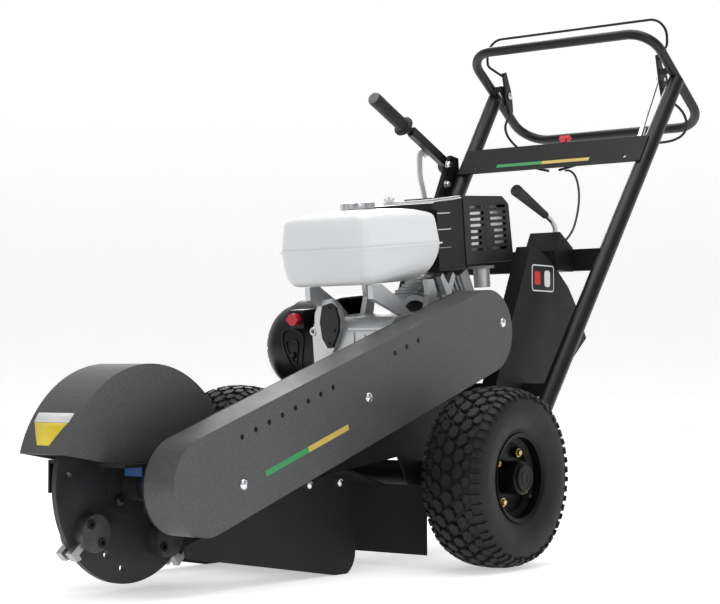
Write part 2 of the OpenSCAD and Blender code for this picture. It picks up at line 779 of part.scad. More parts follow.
module on_cutter() {
    translate([0, cutter_y, cutter_z]) children();
}

// Cutter places: turn a child, drawn at the ring along +Y, to each of the positions
module around_cutter(phase = pocket_phase) {
    on_cutter() for (i = [0 : tooth_count - 1]) rotate([phase + i * 90, 0, 0]) children();
}

screw_gap = 20;
module pocket_screw_holes(r) {
    around_cutter() for (t = [-screw_gap, screw_gap])
        translate([0, pocket_ring, t]) bar_x(-40, 40, r);
}

module cutter_shaft() color(steel) on_cutter() bar_x(-102, 169, shaft_r);

spare_holes = [[125.2, -115.2], [139.2, -97.1]];     // empty holes: distance and angle
spare_r = 6.5;
hub_ring = 44.4;             // distance of the hub screws from the shaft
hub_phase = -54.2;
module cutter_disc() color(black) difference() {
    on_cutter() bar_x(-disc_t / 2, disc_t / 2, disc_r, 128);
    on_cutter() bar_x(-20, 20, shaft_r);
    pocket_screw_holes(5);
    for (h = spare_holes) around_cutter(h[1]) translate([0, h[0], 0]) bar_x(-20, 20, spare_r);
    around_cutter(hub_phase) translate([0, hub_ring, 0]) bar_x(-20, 20, 5);
}

module cutter_hub() color(black) on_cutter() difference() {
    union() {
        bar_x(disc_t / 2, disc_t / 2 + 10, 57);
        bar_x(disc_t / 2, 46, 28);
        bar_x(-46, -disc_t / 2, 28);
    }
    bar_x(-60, 60, shaft_r);
    for (i = [0 : 3]) rotate([hub_phase + i * 90, 0, 0]) translate([0, hub_ring, 0]) bar_x(-4, 20, 5);
}

tooth_w = 13;
module tooth_pockets() color("#55565a") difference() {
    around_cutter() for (side = [0, 1]) mirror([side, 0, 0])
        translate([0, pocket_ring, 0]) bar_x(disc_t / 2, disc_t / 2 + pocket_t, pocket_r);
    pocket_screw_holes(5);
    around_cutter() for (side = [0, 1]) mirror([side, 0, 0]) translate([
        disc_t / 2 - 1, pocket_ring - 12, -tooth_w / 2 - 0.01])
        cube([tooth_w + 1.03, 60, tooth_w + 0.02]);
}

// Square-shank teeth with a wedge-shaped carbide tip
module cutter_teeth() color(steel)
    around_cutter() for (side = [0, 1]) mirror([side, 0, 0])
        translate([disc_t / 2 + 0.02, 0, 0]) {
            translate([0, pocket_ring - 12, -tooth_w / 2]) cube([tooth_w, 56, tooth_w]);
            sheet_x(0, tooth_w, [[166, -tooth_w / 2], [178, -tooth_w / 2], [176, 12], [166, 16]]);
        }

module cutter_bolts() color(steel) {
    around_cutter() for (side = [0, 1], t = [-screw_gap, screw_gap]) mirror([side, 0, 0])
        translate([0, pocket_ring, t]) difference() {
            union() {
                bar_x(0.2, disc_t / 2 + pocket_t, 5);
                bar_x(disc_t / 2 + pocket_t, disc_t / 2 + pocket_t + 2, 8.5);
            }
            translate([disc_t / 2 + pocket_t - 4, 0, 0]) rotate([0, 90, 0])
                cylinder(h = 8, r = 4.6, $fn = 6);
        }
    around_cutter(hub_phase) translate([0, hub_ring, 0]) {
        bar_x(-4.8, disc_t / 2 + 10, 5);
        translate([disc_t / 2 + 10, 0, 0]) dome_screw(9, 9);
    }
}

// ---------------------------------------------------------------- wheels

// Wheel parts are drawn on the left; side = 1 mirrors them to the right
module on_wheel(side) {
    mirror([side, 0, 0]) translate([track_half, 0, axle_z]) rotate([0, 90, 0]) children();
}

module tyre(side) {
    half = tyre_w / 2;
    outside = concat(
        [[rim_r - 4.5, 46], [rim_r + 1, 50], [100, half - 3], [122, half], [142, half - 2],
         [156, half - 8]],
        [[tyre_r - 2, 40], [tyre_r, 20], [tyre_r, -20], [tyre_r - 2, -40]],
        [[156, -half + 8], [142, -half + 2], [122, -half], [100, -half + 3], [rim_r + 1, -50],
         [rim_r - 4.5, -46]]);
    inside = [[rim_r - 4.5, -38], [98, -52], [122, -55], [144, -50], [150, -30], [150, 30],
        [144, 50], [122, 55], [98, 52], [rim_r - 4.5, 38]];
    color(rubber) on_wheel(side) rotate_extrude($fn = 128) polygon(concat(outside, inside));
}

// Pressed steel rim with a deep dish on its outer side
module rim(side) {
    disc_at = 19;
    color(black) on_wheel(side) difference() {
        rotate_extrude($fn = 96) polygon([
            [rim_r, 53], [rim_r, 51.5], [rim_r - 5, 48], [rim_r - 5, 34], [66, 28],
            [66, -28], [rim_r - 5, -34], [rim_r - 5, -48], [rim_r, -51.5], [rim_r, -53],
            [rim_r - 7.5, -50], [rim_r - 7.5, -33], [63, -26.5],
            [63, disc_at - 4], [20, disc_at - 4], [20, disc_at],
            [63, disc_at + 4], [63, 26.5], [rim_r - 7.5, 33], [rim_r - 7.5, 50]]);
        for (a = [59.4 : 90 : 360]) rotate([0, 0, a]) translate([50.8, 0, 0]) cylinder(h = 40, r = 6);
    }
}

// Bearing barrel with its cap, and the four nuts that hold the rim
module hub(side) {
    color(black) on_wheel(side) difference() {
        rotate_extrude($fn = 64) polygon([
            [axle_r + running, -60], [19.9, -60], [19.9, 15], [20, 19], [30, 20.5], [30, 55],
            [25, 58], [25, 61], [0, 61], [0, 55], [axle_r + running, 55]]);
    }
    color(steel) on_wheel(side) for (a = [59.4 : 90 : 360]) rotate([0, 0, a])
        translate([50.8, 0, 0]) {
            translate([0, 0, 8]) cylinder(h = 24, r = 5.9);
            translate([0, 0, 23]) cylinder(h = 8, r = 10, $fn = 6);
        }
}

module tyre_left() tyre(0);
module tyre_right() tyre(1);
module rim_left() rim(0);
module rim_right() rim(1);
module hub_left() hub(0);
module hub_right() hub(1);

at_axle() deck();
at_axle() axle();
at_axle() uprights();
at_axle() crossmember();
at_axle() control_box();
at_axle() boom();
at_axle() guard_back();
at_axle() guard_cover();
at_axle() panel_bolts();
at_axle() hood();
at_axle() side_skirts();
at_axle() chip_deflector();
at_axle() bearing_housings();
at_axle() handle_tubes();
at_axle() crossbar();
at_axle() handlebar();
at_axle() bail_bolts();
at_axle() strut_sleeve();
at_axle() control_cables();
at_axle() lever_bracket();
at_axle() crankcase();
at_axle() engine_cylinder();
at_axle() side_cover();
at_axle() fan_housing();
at_axle() recoil_cover();
at_axle() fuel_tank();
at_axle() engine_stays();
at_axle() muffler();
at_axle() muffler_guard();
at_axle() heat_shield();
at_axle() air_cleaner();
at_axle() drive_belts();
at_axle() cutter_shaft();
at_axle() cutter_disc();
at_axle() cutter_hub();
at_axle() tooth_pockets();
at_axle() cutter_teeth();
at_axle() cutter_bolts();
at_axle() cutter_pulley();
at_axle() crankshaft();
at_axle() engine_pulley();
at_axle() idler_arm();
at_axle() idler_pulley();
at_axle() tyre_left();
at_axle() rim_left();
at_axle() hub_left();
at_axle() tyre_right();
at_axle() rim_right();
at_axle() hub_right();
at_axle() fuel_cap();
at_axle() recoil_handle();
at_axle() engine_switch();
at_axle() bail_bar();
at_axle() strut_rod();
at_axle() stop_switch();
at_axle() swing_lever();
at_axle() lever_grip();
at_axle() link_rod();
at_axle() brake_lever();
at_axle() brake_grip();
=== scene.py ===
import json
from math import atan2, cos, degrees, pi, radians, sin, sqrt

import bmesh
import bpy
from mathutils import Matrix, Vector


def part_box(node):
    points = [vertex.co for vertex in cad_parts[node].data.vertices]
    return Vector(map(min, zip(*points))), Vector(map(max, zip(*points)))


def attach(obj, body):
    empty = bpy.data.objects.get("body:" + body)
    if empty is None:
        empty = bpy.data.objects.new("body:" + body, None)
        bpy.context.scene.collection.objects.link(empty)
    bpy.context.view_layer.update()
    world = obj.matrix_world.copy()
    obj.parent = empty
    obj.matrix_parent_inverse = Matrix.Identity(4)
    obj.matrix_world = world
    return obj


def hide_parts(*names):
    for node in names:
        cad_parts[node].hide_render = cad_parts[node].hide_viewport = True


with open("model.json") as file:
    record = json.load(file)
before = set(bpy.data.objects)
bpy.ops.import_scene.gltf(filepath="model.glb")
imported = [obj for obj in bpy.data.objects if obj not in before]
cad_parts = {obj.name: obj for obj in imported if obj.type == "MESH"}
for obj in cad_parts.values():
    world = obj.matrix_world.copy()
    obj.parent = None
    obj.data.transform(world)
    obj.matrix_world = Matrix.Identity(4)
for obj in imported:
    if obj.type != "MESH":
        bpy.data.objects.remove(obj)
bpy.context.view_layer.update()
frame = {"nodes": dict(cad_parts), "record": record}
scene = bpy.context.scene

# ---------------------------------------------------------------- frames, in millimetres
#
# WORLD stands on the ground under the axle; the others sit on the cutter, along the belt guard, on the
# crankshaft of the leaning engine, on the crossbar's lower edge and on each wheel.

low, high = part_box("axle")
AXLE_Y = (low[1] + high[1]) / 2
WORLD = Matrix.Translation((0, AXLE_Y, 0)) @ Matrix.Scale(0.001, 4)


def moved(x, y, z):
    return Matrix.Translation((x, y, z))


def turned(angle, axis="X"):
    return Matrix.Rotation(radians(angle), 4, axis)


CUTTER = WORLD @ moved(0, -635, 173)
GUARD = CUTTER @ turned(17.9)
ENGINE = GUARD @ moved(0, 767, 0) @ turned(5.7 - 17.9)
TUBE_FOOT = Vector((212.2, 325.6, 286))
TUBE_TOP = Vector((241.6, 843.5, 1007))
BAR_TILT = degrees(atan2(TUBE_TOP.z - TUBE_FOOT.z, TUBE_TOP.y - TUBE_FOOT.y)) - 90
CROSSBAR = WORLD @ moved(0, 680.7, 810.8) @ turned(BAR_TILT)
MIRROR = Matrix.Scale(-1, 4, (1, 0, 0))
WHEELS = {"left": WORLD @ moved(311, 0, 165), "right": WORLD @ MIRROR @ moved(311, 0, 165)}

# ---------------------------------------------------------------- camera and light

VIEW_AZIMUTH, VIEW_ELEVATION = 37.4, -2.2


def make_camera():
    data = bpy.data.cameras.new("camera")
    data.lens = 91.1
    data.sensor_width = 36
    camera = bpy.data.objects.new("camera", data)
    azimuth, elevation = radians(VIEW_AZIMUTH), radians(VIEW_ELEVATION)
    away = Vector((-sin(azimuth) * cos(elevation), cos(azimuth) * cos(elevation), -sin(elevation)))
    camera.location = WORLD @ Vector((2138, -2800, 356))
    camera.rotation_euler = away.to_track_quat("-Z", "Y").to_euler()
    data.clip_end = 100
    scene.collection.objects.link(camera)
    scene.camera = camera


def area_light(name, place, target, size, power):
    data = bpy.data.lights.new(name, "AREA")
    data.shape = "RECTANGLE"
    data.size, data.size_y = size
    data.energy = power
    lamp = bpy.data.objects.new(name, data)
    lamp.location = place
    lamp.rotation_euler = (Vector(target) - Vector(place)).to_track_quat("-Z", "Y").to_euler()
    scene.collection.objects.link(lamp)


def make_sky():
    """Even white sky, much dimmer than the backdrop."""
    world = bpy.data.worlds.new("studio")
    world.use_nodes = True
    sky = world.node_tree.nodes["Background"]
    sky.inputs["Color"].default_value = (1, 1, 1, 1)
    sky.inputs["Strength"].default_value = 0.32
    scene.world = world


def make_lights():
    """Soft light that comes mainly from above: place, target, size and power."""
    area_light("overhead", (0.0, 0.1, 3.4), (0, -0.1, 0.4), (3.0, 3.0), 78)
    area_light("front_left", (3.4, -1.6, 2.4), (0, -0.1, 0.5), (1.4, 1.8), 22)
    area_light("front_right", (-1.6, -3.6, 2.2), (0, -0.2, 0.5), (1.8, 2.0), 10)
    area_light("back_strip", (-2.2, 2.6, 2.6), (0, 0.2, 0.6), (1.0, 2.4), 45)


def make_backdrop():
    """Pale paper: a floor that curves up into a wall behind the object, square to the camera."""
    near, far, curve, top, half = -18, 14, 4, 30, 70
    profile = [(near, 0), (far, 0)]
    profile += [(far + curve * sin(radians(a)), curve * (1 - cos(radians(a)))) for a in range(6, 91, 6)]
    profile.append((far + curve, top))
    bm = bmesh.new()
    rings_to_mesh(bm, [[Vector((side, d, h)) for d, h in profile] for side in (-half, half)],
                  closed_ring=False, cap_start=False, cap_end=False)
    mesh = bpy.data.meshes.new("backdrop")
    bm.to_mesh(mesh)
    bm.free()
    mesh.polygons.foreach_set("use_smooth", [True] * len(mesh.polygons))
    paper = plain("studio_paper", (0.93, 0.93, 0.93), 0.9)
    shader = paper.node_tree.nodes["Principled BSDF"]
    shader.inputs["Emission Color"].default_value = (1, 1, 1, 1)
    shader.inputs["Emission Strength"].default_value = 0.47
    mesh.materials.append(paper)
    backdrop = bpy.data.objects.new("backdrop", mesh)
    backdrop.rotation_euler = (0, 0, radians(VIEW_AZIMUTH))
    scene.collection.objects.link(backdrop)


def make_studio():
    make_sky()
    make_lights()
    make_backdrop()
    scene.view_settings.view_transform = "Standard"


# ---------------------------------------------------------------- materials


def node(tree, kind, **values):
    made = tree.nodes.new(kind)
    for key, value in values.items():
        setattr(made, key, value)
    return made


def plain(name, colour, rough):
    material = bpy.data.materials.new(name)
    material.use_nodes = True
    shader = material.node_tree.nodes["Principled BSDF"]
    shader.inputs["Base Color"].default_value = (*colour, 1)
    shader.inputs["Roughness"].default_value = rough
    return material


def noise(tree, vector, scale, detail, roughness):
    made = node(tree, "ShaderNodeTexNoise")
    made.inputs["Scale"].default_value = scale
    made.inputs["Detail"].default_value = detail
    made.inputs["Roughness"].default_value = roughness
    tree.links.new(vector, made.inputs["Vector"])
    return made.outputs["Fac"]


def ramp(tree, factor, low, low_colour, high, high_colour):
    made = node(tree, "ShaderNodeValToRGB")
    stops = made.color_ramp.elements
    stops[0].position = low
    stops[0].color = (*low_colour, 1)
    stops[1].position = high
    stops[1].color = (*high_colour, 1)
    tree.links.new(factor, made.inputs["Fac"])
    return made.outputs["Color"]


def finish_of(name, colour, rough=0.5, metal=0.0, vary=0.12, grain=900.0, bump=0.15, patch=14.0,
              rough_vary=0.08, coat=0.0, coat_rough=0.1, spec=0.5, speck=0.0, lean=None):
    """Surface with slow patches of colour and roughness and a fine grain.

    grain and patch are in cycles per metre; speck lightens the tops of the grain."""
    material = bpy.data.materials.new(name)
    material.use_nodes = True
    tree = material.node_tree
    link = tree.links.new
    shader = tree.nodes["Principled BSDF"]
    shader.inputs["Metallic"].default_value = metal
    shader.inputs["Specular IOR Level"].default_value = spec
    shader.inputs["Coat Weight"].default_value = coat
    shader.inputs["Coat Roughness"].default_value = coat_rough
    place = node(tree, "ShaderNodeTexCoord")
    stretch = node(tree, "ShaderNodeMapping")
    stretch.inputs["Scale"].default_value = lean or (1, 1, 1)
    link(place.outputs["Object"], stretch.inputs["Vector"])
    slow = noise(tree, stretch.outputs["Vector"], patch, 5, 0.6)
    fine = noise(tree, stretch.outputs["Vector"], grain, 3, 0.5)
    dark = [c * (1 - vary) for c in colour]
    light = [min(1, c * (1 + vary)) for c in colour]
    shade = ramp(tree, slow, 0.3, dark, 0.7, light)
    if speck:
        add = node(tree, "ShaderNodeMixRGB", blend_type="ADD")
        add.inputs["Fac"].default_value = 1
        link(shade, add.inputs["Color1"])
        link(ramp(tree, fine, 0.52, (0, 0, 0), 0.72, (speck, speck, speck)), add.inputs["Color2"])
        shade = add.outputs["Color"]
    link(shade, shader.inputs["Base Color"])
    rough_map = node(tree, "ShaderNodeMapRange")
    rough_map.inputs["From Min"].default_value = 0.3
    rough_map.inputs["From Max"].default_value = 0.7
    rough_map.inputs["To Min"].default_value = max(0.02, rough - rough_vary)
    rough_map.inputs["To Max"].default_value = min(1, rough + rough_vary)
    link(slow, rough_map.inputs["Value"])
    link(rough_map.outputs["Result"], shader.inputs["Roughness"])
    raised = node(tree, "ShaderNodeBump")
    raised.inputs["Strength"].default_value = bump
    raised.inputs["Distance"].default_value = 0.0006
    link(fine, raised.inputs["Height"])
    link(raised.outputs["Normal"], shader.inputs["Normal"])
    return material


def make_materials():
    return {
        # frame_black and panel_grey are partly painted light: one dark paint is split into a darker tone for
        # faces in shade, such as the hood's side, and a lighter tone for the lit belt guard. panel_grey's
        # speckled grain is the paint's own.
        "frame_black": finish_of("frame_black", (0.009, 0.009, 0.0095), 0.5, grain=800, bump=0.2,
                                 spec=0.22),
        "panel_grey": finish_of("panel_grey", (0.072, 0.073, 0.076), 0.44, grain=620, bump=0.35,
                                vary=0.08, speck=0.06, patch=9, spec=0.4),
        "tube_black": finish_of("tube_black", (0.008, 0.008, 0.0085), 0.36, grain=500, bump=0.05,
                                spec=0.35),
        "bearing_blue": finish_of("bearing_blue", (0.02, 0.075, 0.24), 0.4, grain=350, bump=0.5),
        "zinc": finish_of("zinc", (0.7, 0.71, 0.73), 0.24, metal=1, grain=400, bump=0.015),
        "steel_rod": finish_of("steel_rod", (0.56, 0.57, 0.59), 0.3, metal=1, grain=700, bump=0.015,
                               lean=(1, 1, 0.1)),
        "bright_zinc": finish_of("bright_zinc", (0.72, 0.73, 0.74), 0.36, metal=0.35, grain=500,
                                 bump=0.01),
        "cable_black": finish_of("cable_black", (0.009, 0.009, 0.009), 0.4, grain=900, bump=0.03,
                                 spec=0.35),
        "engine_alloy": finish_of("engine_alloy", (0.64, 0.65, 0.66), 0.46, metal=0.8, grain=420,
                                  bump=0.3, vary=0.12, patch=22),
        "engine_black": finish_of("engine_black", (0.006, 0.006, 0.0065), 0.38, grain=300, bump=0.06,
                                  spec=0.28),
        "guard_matt": finish_of("guard_matt", (0.022, 0.022, 0.023), 0.5, grain=700, bump=0.12,
                                spec=0.4),
        "muffler_steel": finish_of("muffler_steel", (0.5, 0.46, 0.4), 0.35, metal=1, vary=0.25, patch=25,
                                   bump=0.05),
        "tank_white": finish_of("tank_white", (0.8, 0.81, 0.82), 0.32, vary=0.012, grain=260, bump=0.015,
                                coat=0.15, coat_rough=0.15, patch=5, rough_vary=0.03),
        "cap_alloy": finish_of("cap_alloy", (0.62, 0.63, 0.65), 0.32, metal=1, grain=500, bump=0.04),
        "grip_rubber": finish_of("grip_rubber", (0.016, 0.016, 0.017), 0.55, grain=700, bump=0.1,
                                 spec=0.35),
        "switch_red": finish_of("switch_red", (0.6, 0.01, 0.03), 0.32, grain=300, bump=0.03),
        "belt_rubber": finish_of("belt_rubber", (0.015, 0.015, 0.015), 0.75, grain=1500, bump=0.4),
        "disc_black": finish_of("disc_black", (0.026, 0.026, 0.027), 0.42, grain=240, bump=0.12, vary=0.3,
                                spec=0.45),
        "pocket_steel": finish_of("pocket_steel", (0.11, 0.11, 0.115), 0.42, metal=0.7, grain=300,
                                  bump=0.25, vary=0.25, patch=40),
        "tooth_steel": finish_of("tooth_steel", (0.45, 0.45, 0.45), 0.34, metal=1, grain=600, bump=0.1),
        "bolt_black": finish_of("bolt_black", (0.02, 0.02, 0.022), 0.38, metal=0.4, grain=500, bump=0.08),
        "pulley_iron": finish_of("pulley_iron", (0.3, 0.3, 0.31), 0.4, metal=1, grain=400, bump=0.2),
        "tyre": finish_of("tyre", (0.011, 0.011, 0.0115), 0.6, vary=0.2, grain=520, bump=0.2, patch=30,
                          spec=0.3),
        "rim_black": finish_of("rim_black", (0.004, 0.004, 0.0045), 0.4, grain=420, bump=0.06,
                               spec=0.14),
        "cap_grey": finish_of("cap_grey", (0.16, 0.16, 0.165), 0.45, grain=300, bump=0.05),
        "brass": finish_of("brass", (0.72, 0.5, 0.2), 0.32, metal=1, grain=500, bump=0.1),
        "stripe_green": finish_of("stripe_green", (0.03, 0.3, 0.09), 0.4, vary=0.05, bump=0.05),
        "stripe_yellow": finish_of("stripe_yellow", (0.62, 0.45, 0.1), 0.4, vary=0.05, bump=0.05),
        "label_yellow": finish_of("label_yellow", (0.78, 0.6, 0.03), 0.4, vary=0.04, bump=0.03),
        "label_white": finish_of("label_white", (0.78, 0.78, 0.78), 0.4, vary=0.03, bump=0.03),
        "label_red": finish_of("label_red", (0.6, 0.03, 0.03), 0.4, vary=0.05, bump=0.03),
    }


# ---------------------------------------------------------------- mesh helpers


def add_piece(name, bm, place, material, body, replaces=(), sharp=35, bevel=0.0):
    """Turns bm, drawn in the frame place, into a piece of that material on that body."""
    bm.transform(place)
    if place.determinant() < 0:
        bmesh.ops.reverse_faces(bm, faces=bm.faces)
    mesh = bpy.data.meshes.new(name)
    bm.to_mesh(mesh)
    bm.free()
    mesh.polygons.foreach_set("use_smooth", [True] * len(mesh.polygons))
    mesh.set_sharp_from_angle(angle=radians(sharp))
    mesh.materials.append(MATERIALS[material])
    piece = bpy.data.objects.new(name, mesh)
    scene.collection.objects.link(piece)
    if bevel:
        add_bevel(piece, bevel)
    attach(piece, body)
    if replaces:
        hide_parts(*replaces)
    return piece


def add_bevel(piece, width, segments=2):
    bevel = piece.modifiers.new("edge", "BEVEL")
    bevel.width = width / 1000
    bevel.segments = segments
    bevel.limit_method = "ANGLE"
    bevel.angle_limit = radians(40)
    bevel.use_clamp_overlap = True


def rings_to_mesh(bm, rings, closed_ring=True, cap_start=True, cap_end=True):
    """Skins a row of rings that all have the same number of points."""
    rows = [[bm.verts.new(p) for p in ring] for ring in rings]
    for a, b in zip(rows, rows[1:]):
        count = len(a)
        for i in range(count if closed_ring else count - 1):
            j = (i + 1) % count
            bm.faces.new((a[i], a[j], b[j], b[i]))
    if cap_start:
        bm.faces.new(rows[0][::-1])
    if cap_end:
        bm.faces.new(rows[-1])
    return rows


def lathe(bm, profile, steps=64, place=None):
    """Turns (radius, along X) points about the X axis; the ends are closed."""
    rings = []
    for r, x in profile:
        r = max(r, 0.001)
        rings.append([Vector((x, r * cos(2 * pi * i / steps), r * sin(2 * pi * i / steps)))
                      for i in range(steps)])
    if place:
        rings = [[place @ p for p in ring] for ring in rings]
    if profile[-1][1] < profile[0][1]:
        rings = rings[::-1]
    rings_to_mesh(bm, rings)


def prism(bm, outline, start, end, place=None, axis="X"):
    """Extrudes an outline of 2-D points along an axis."""
    def point(p, h):
        v = {"X": (h, p[0], p[1]), "Y": (p[0], h, p[1]), "Z": (p[0], p[1], h)}[axis]
        return place @ Vector(v) if place else Vector(v)
    rows = rings_to_mesh(bm, [[point(p, start) for p in outline], [point(p, end) for p in outline]])
    bmesh.ops.recalc_face_normals(bm, faces=list({f for row in rows for v in row for f in v.link_faces}))


def block(bm, x1, x2, y1, y2, z1, z2, place=None):
    """Solid between two opposite corners, used for cuts and stripes."""
    prism(bm, [(x1, y1), (x2, y1), (x2, y2), (x1, y2)], z1, z2, place, "Z")


def round_outline(x1, x2, y1, y2, r, steps=6):
    """Rectangle with round corners of radius r."""
    points = []
    corners = ((x2 - r, y2 - r, 0), (x1 + r, y2 - r, 90), (x1 + r, y1 + r, 180), (x2 - r, y1 + r, 270))
    for cx, cy, start in corners:
        for i in range(steps + 1):
            a = radians(start + 90 * i / steps)
            points.append((cx + r * cos(a), cy + r * sin(a)))
    return points


def smooth_path(points, steps=8):
    """Catmull-Rom curve through the points; 2-D points get a height of 0."""
    p = [Vector(q).to_3d() for q in points]
    p = [2 * p[0] - p[1]] + p + [2 * p[-1] - p[-2]]
    out = []
    for i in range(1, len(p) - 2):
        for k in range(steps):
            t = k / steps
            a, b, c, d = p[i - 1], p[i], p[i + 1], p[i + 2]
            out.append(0.5 * (2 * b + (c - a) * t + (2 * a - 5 * b + 4 * c - d) * t * t
                              + (3 * b - a - 3 * c + d) * t ** 3))
    return out + [p[-2]]


def sweep(bm, path, radius, steps=12, place=None):
    """Round tube along a path; radius may be a list, one per point."""
    path = [Vector(p) for p in path]
    radii = radius if isinstance(radius, (list, tuple)) else [radius] * len(path)
    along = (path[1] - path[0]).normalized()
    side = along.orthogonal().normalized()
    rings = []
    for i, p in enumerate(path):
        ahead = path[min(i + 1, len(path) - 1)] - path[max(i - 1, 0)]
        ahead.normalize()
        side = (side - ahead * side.dot(ahead)).normalized()
        other = ahead.cross(side)
        ring = [p + radii[i] * (side * cos(2 * pi * k / steps) + other * sin(2 * pi * k / steps))
                for k in range(steps)]
        rings.append([place @ q for q in ring] if place else ring)
    rings_to_mesh(bm, rings)


def hex_head(bm, place, across, height, washer=0.0):
    """Hexagon head along +X from the place's origin, with a rounded crown and a washer."""
    r = across / sqrt(3)
    base = 0
    if washer:
        lathe(bm, [(washer - 0.3, 0), (washer, 0.3), (washer, 1.5), (washer - 0.4, 1.9)], 32, place)
        base = 1.9
    outline = [(r * cos(radians(60 * i)), r * sin(radians(60 * i))) for i in range(6)]
    inner = [(p[0] * 0.86, p[1] * 0.86) for p in outline]
    rings = [[place @ Vector((base, *p)) for p in outline],
             [place @ Vector((base + height * 0.82, *p)) for p in outline],
             [place @ Vector((base + height, *p)) for p in inner]]
    rings_to_mesh(bm, rings)


def cut_away(bm, tools):
    """bm less the closed shapes in tools, as a new bmesh."""
    pair = []
    for shape in (bm, tools):
        bmesh.ops.recalc_face_normals(shape, faces=shape.faces)
        mesh = bpy.data.meshes.new("scratch")
        shape.to_mesh(mesh)
        shape.free()
        pair.append(bpy.data.objects.new("scratch", mesh))
        scene.collection.objects.link(pair[-1])
    solid, cutter = pair
    cut = solid.modifiers.new("cut", "BOOLEAN")
    cut.operation = "DIFFERENCE"
    cut.solver = "EXACT"
    cut.object = cutter
    shaped = solid.evaluated_get(bpy.context.evaluated_depsgraph_get())
    made = bmesh.new()
    made.from_mesh(shaped.to_mesh())
    shaped.to_mesh_clear()
    for used in pair:
        mesh = used.data
        bpy.data.objects.remove(used)
        bpy.data.meshes.remove(mesh)
    return made


# ---------------------------------------------------------------- carried-over nodes


def dress_nodes():
    """The CAD's own meshes, with their materials and small round edges of that width."""
    record = frame["record"]
    bevels = {
        "hood": 1.2, "guard_cover": 1.2, "crossbar": 1.2, "uprights": 1.2, "side_skirts": 1.0,
        "chip_deflector": 1.0, "deck": 1.0, "tooth_pockets": 1.2, "cutter_teeth": 0.7,
        "engine_stays": 2.0, "bearing_housings": 2.5, "boom": 1.5, "cutter_disc": 0.6, "cutter_hub": 1.0,
        "lever_bracket": 1.2, "crossmember": 2.0, "fan_housing": 3.0, "side_cover": 1.2, "crankcase": 2.0}
    for part in record["subparts"]:
        name, slot = part["node"], part["material_slot"]
        piece = frame["nodes"][name]
        for i in range(len(piece.data.materials)):
            piece.data.materials[i] = MATERIALS[slot]
        if name in bevels:
            add_bevel(piece, bevels[name])


# ---------------------------------------------------------------- wheels

TYRE_R, TYRE_HALF = 164.8, 63.3


def crown(x):
    """Outer radius of the tread at x across the tyre."""
    return TYRE_R - 0.0018 * x * x - 4.8e-7 * x ** 4


def tread_block(bm, outline, depth, draft=1.2):
    """Raised block on the tread: outline points are (arc length at the crown, x)."""
    cx = sum(p[0] for p in outline) / len(outline)
    cy = sum(p[1] for p in outline) / len(outline)
    rings = []
    for height, grow in ((-depth - 1.5, 1.0), (-0.8, 0.0), (0.0, -0.6)):
        ring = []
        for s, x in outline:
            away = Vector((s - cx, x - cy))
            away = away * (1 + grow * draft / max(away.length, 1))
            a = (cx + away.x) / TYRE_R
            across = cy + away.y
            r = crown(min(abs(across), TYRE_HALF - 1)) + height
            ring.append(Vector((across, r * cos(a), r * sin(a))))
        rings.append(ring)
    rings_to_mesh(bm, rings, cap_start=False)


def round_the_wheel(profile, steps):
    """Rings about the wheel's axis through (radius, x) points."""
    return [[Vector((x, r * cos(2 * pi * i / steps), r * sin(2 * pi * i / steps))) for i in range(steps)]
            for r, x in profile]


def add_carcass(bm):
    half = TYRE_HALF
    section = [(77, 46), (80, 49), (84, 51), (90, 54.5), (96, 57.8), (104, 61), (113, half - 0.6),
               (122, half), (131, half - 0.4), (139, half - 2), (145, half - 4.5), (150, half - 8),
               (153, half - 13), (155.4, 40), (156.6, 28), (157.2, 14), (157.4, 0)]
    profile = section + [(r, -x) for r, x in section[-2::-1]]
    profile += [(77, -38), (98, -52), (120, -57), (144, -52), (150, -30), (150, 30), (144, 52), (120, 57),
                (98, 52), (77, 38), (77, 46)]
    rings_to_mesh(bm, round_the_wheel(profile, 160)[::-1], cap_start=False, cap_end=False)


def add_tread(bm):
    """Middle row of wide hexagons, then leaning diamonds and small blocks half a pitch on."""
    hexagon = [(-12.5, 0), (-7, -9.5), (7, -9.5), (12.5, 0), (7, 9.5), (-7, 9.5)]
    lean = [(-13, 2), (-5, -8), (9, -8), (13, -1), (5, 9), (-9, 9)]
    small = [(-8, 0), (-3, -6.5), (8, -6.5), (10, 0), (4, 7), (-6, 7)]
    count = 34
    pitch = 2 * pi * TYRE_R / count
    for i in range(count):
        s = i * pitch
        tread_block(bm, [(s + p, q) for p, q in hexagon], 7)
        for k in (-1, 1):
            outline = [(s + pitch / 2 + p, k * (22 + q)) for p, q in lean]
            tread_block(bm, outline if k > 0 else outline[::-1], 7)
            outline = [(s + p, k * (38.5 + q)) for p, q in small]
            tread_block(bm, outline if k > 0 else outline[::-1], 6)


def add_lugs(bm):
    """Long and short shoulder lugs that run down onto the sidewalls."""
    lugs = 52
    for i in range(lugs):
        a = 2 * pi * (i + 0.5) / lugs
        foot, wide = (143, 0.036) if i % 2 == 0 else (147.5, 0.03)
        path = [(crown(47) - 0.4, 47), (crown(53) - 1.6, 53), (152.5, 59.4), (148.5, 62.0), (foot, 63.1)]
        inner = [(152, 46), (150, 50), (146, 54), (142, 56), (foot - 1, 58.5)]
        for k in (-1, 1):
            rings = []
            for (r, x), (ri, xi) in zip(path, inner):
                w = wide * (1 if x < 62.5 else 0.8)
                corners = ((-w * 1.25, ri, xi), (-w, r, x), (w, r, x), (w * 1.25, ri, xi))
                ring = [Vector((k * xx, rr * cos(a + da), rr * sin(a + da))) for da, rr, xx in corners]
                rings.append(ring if k > 0 else ring[::-1])
            rings_to_mesh(bm, rings)


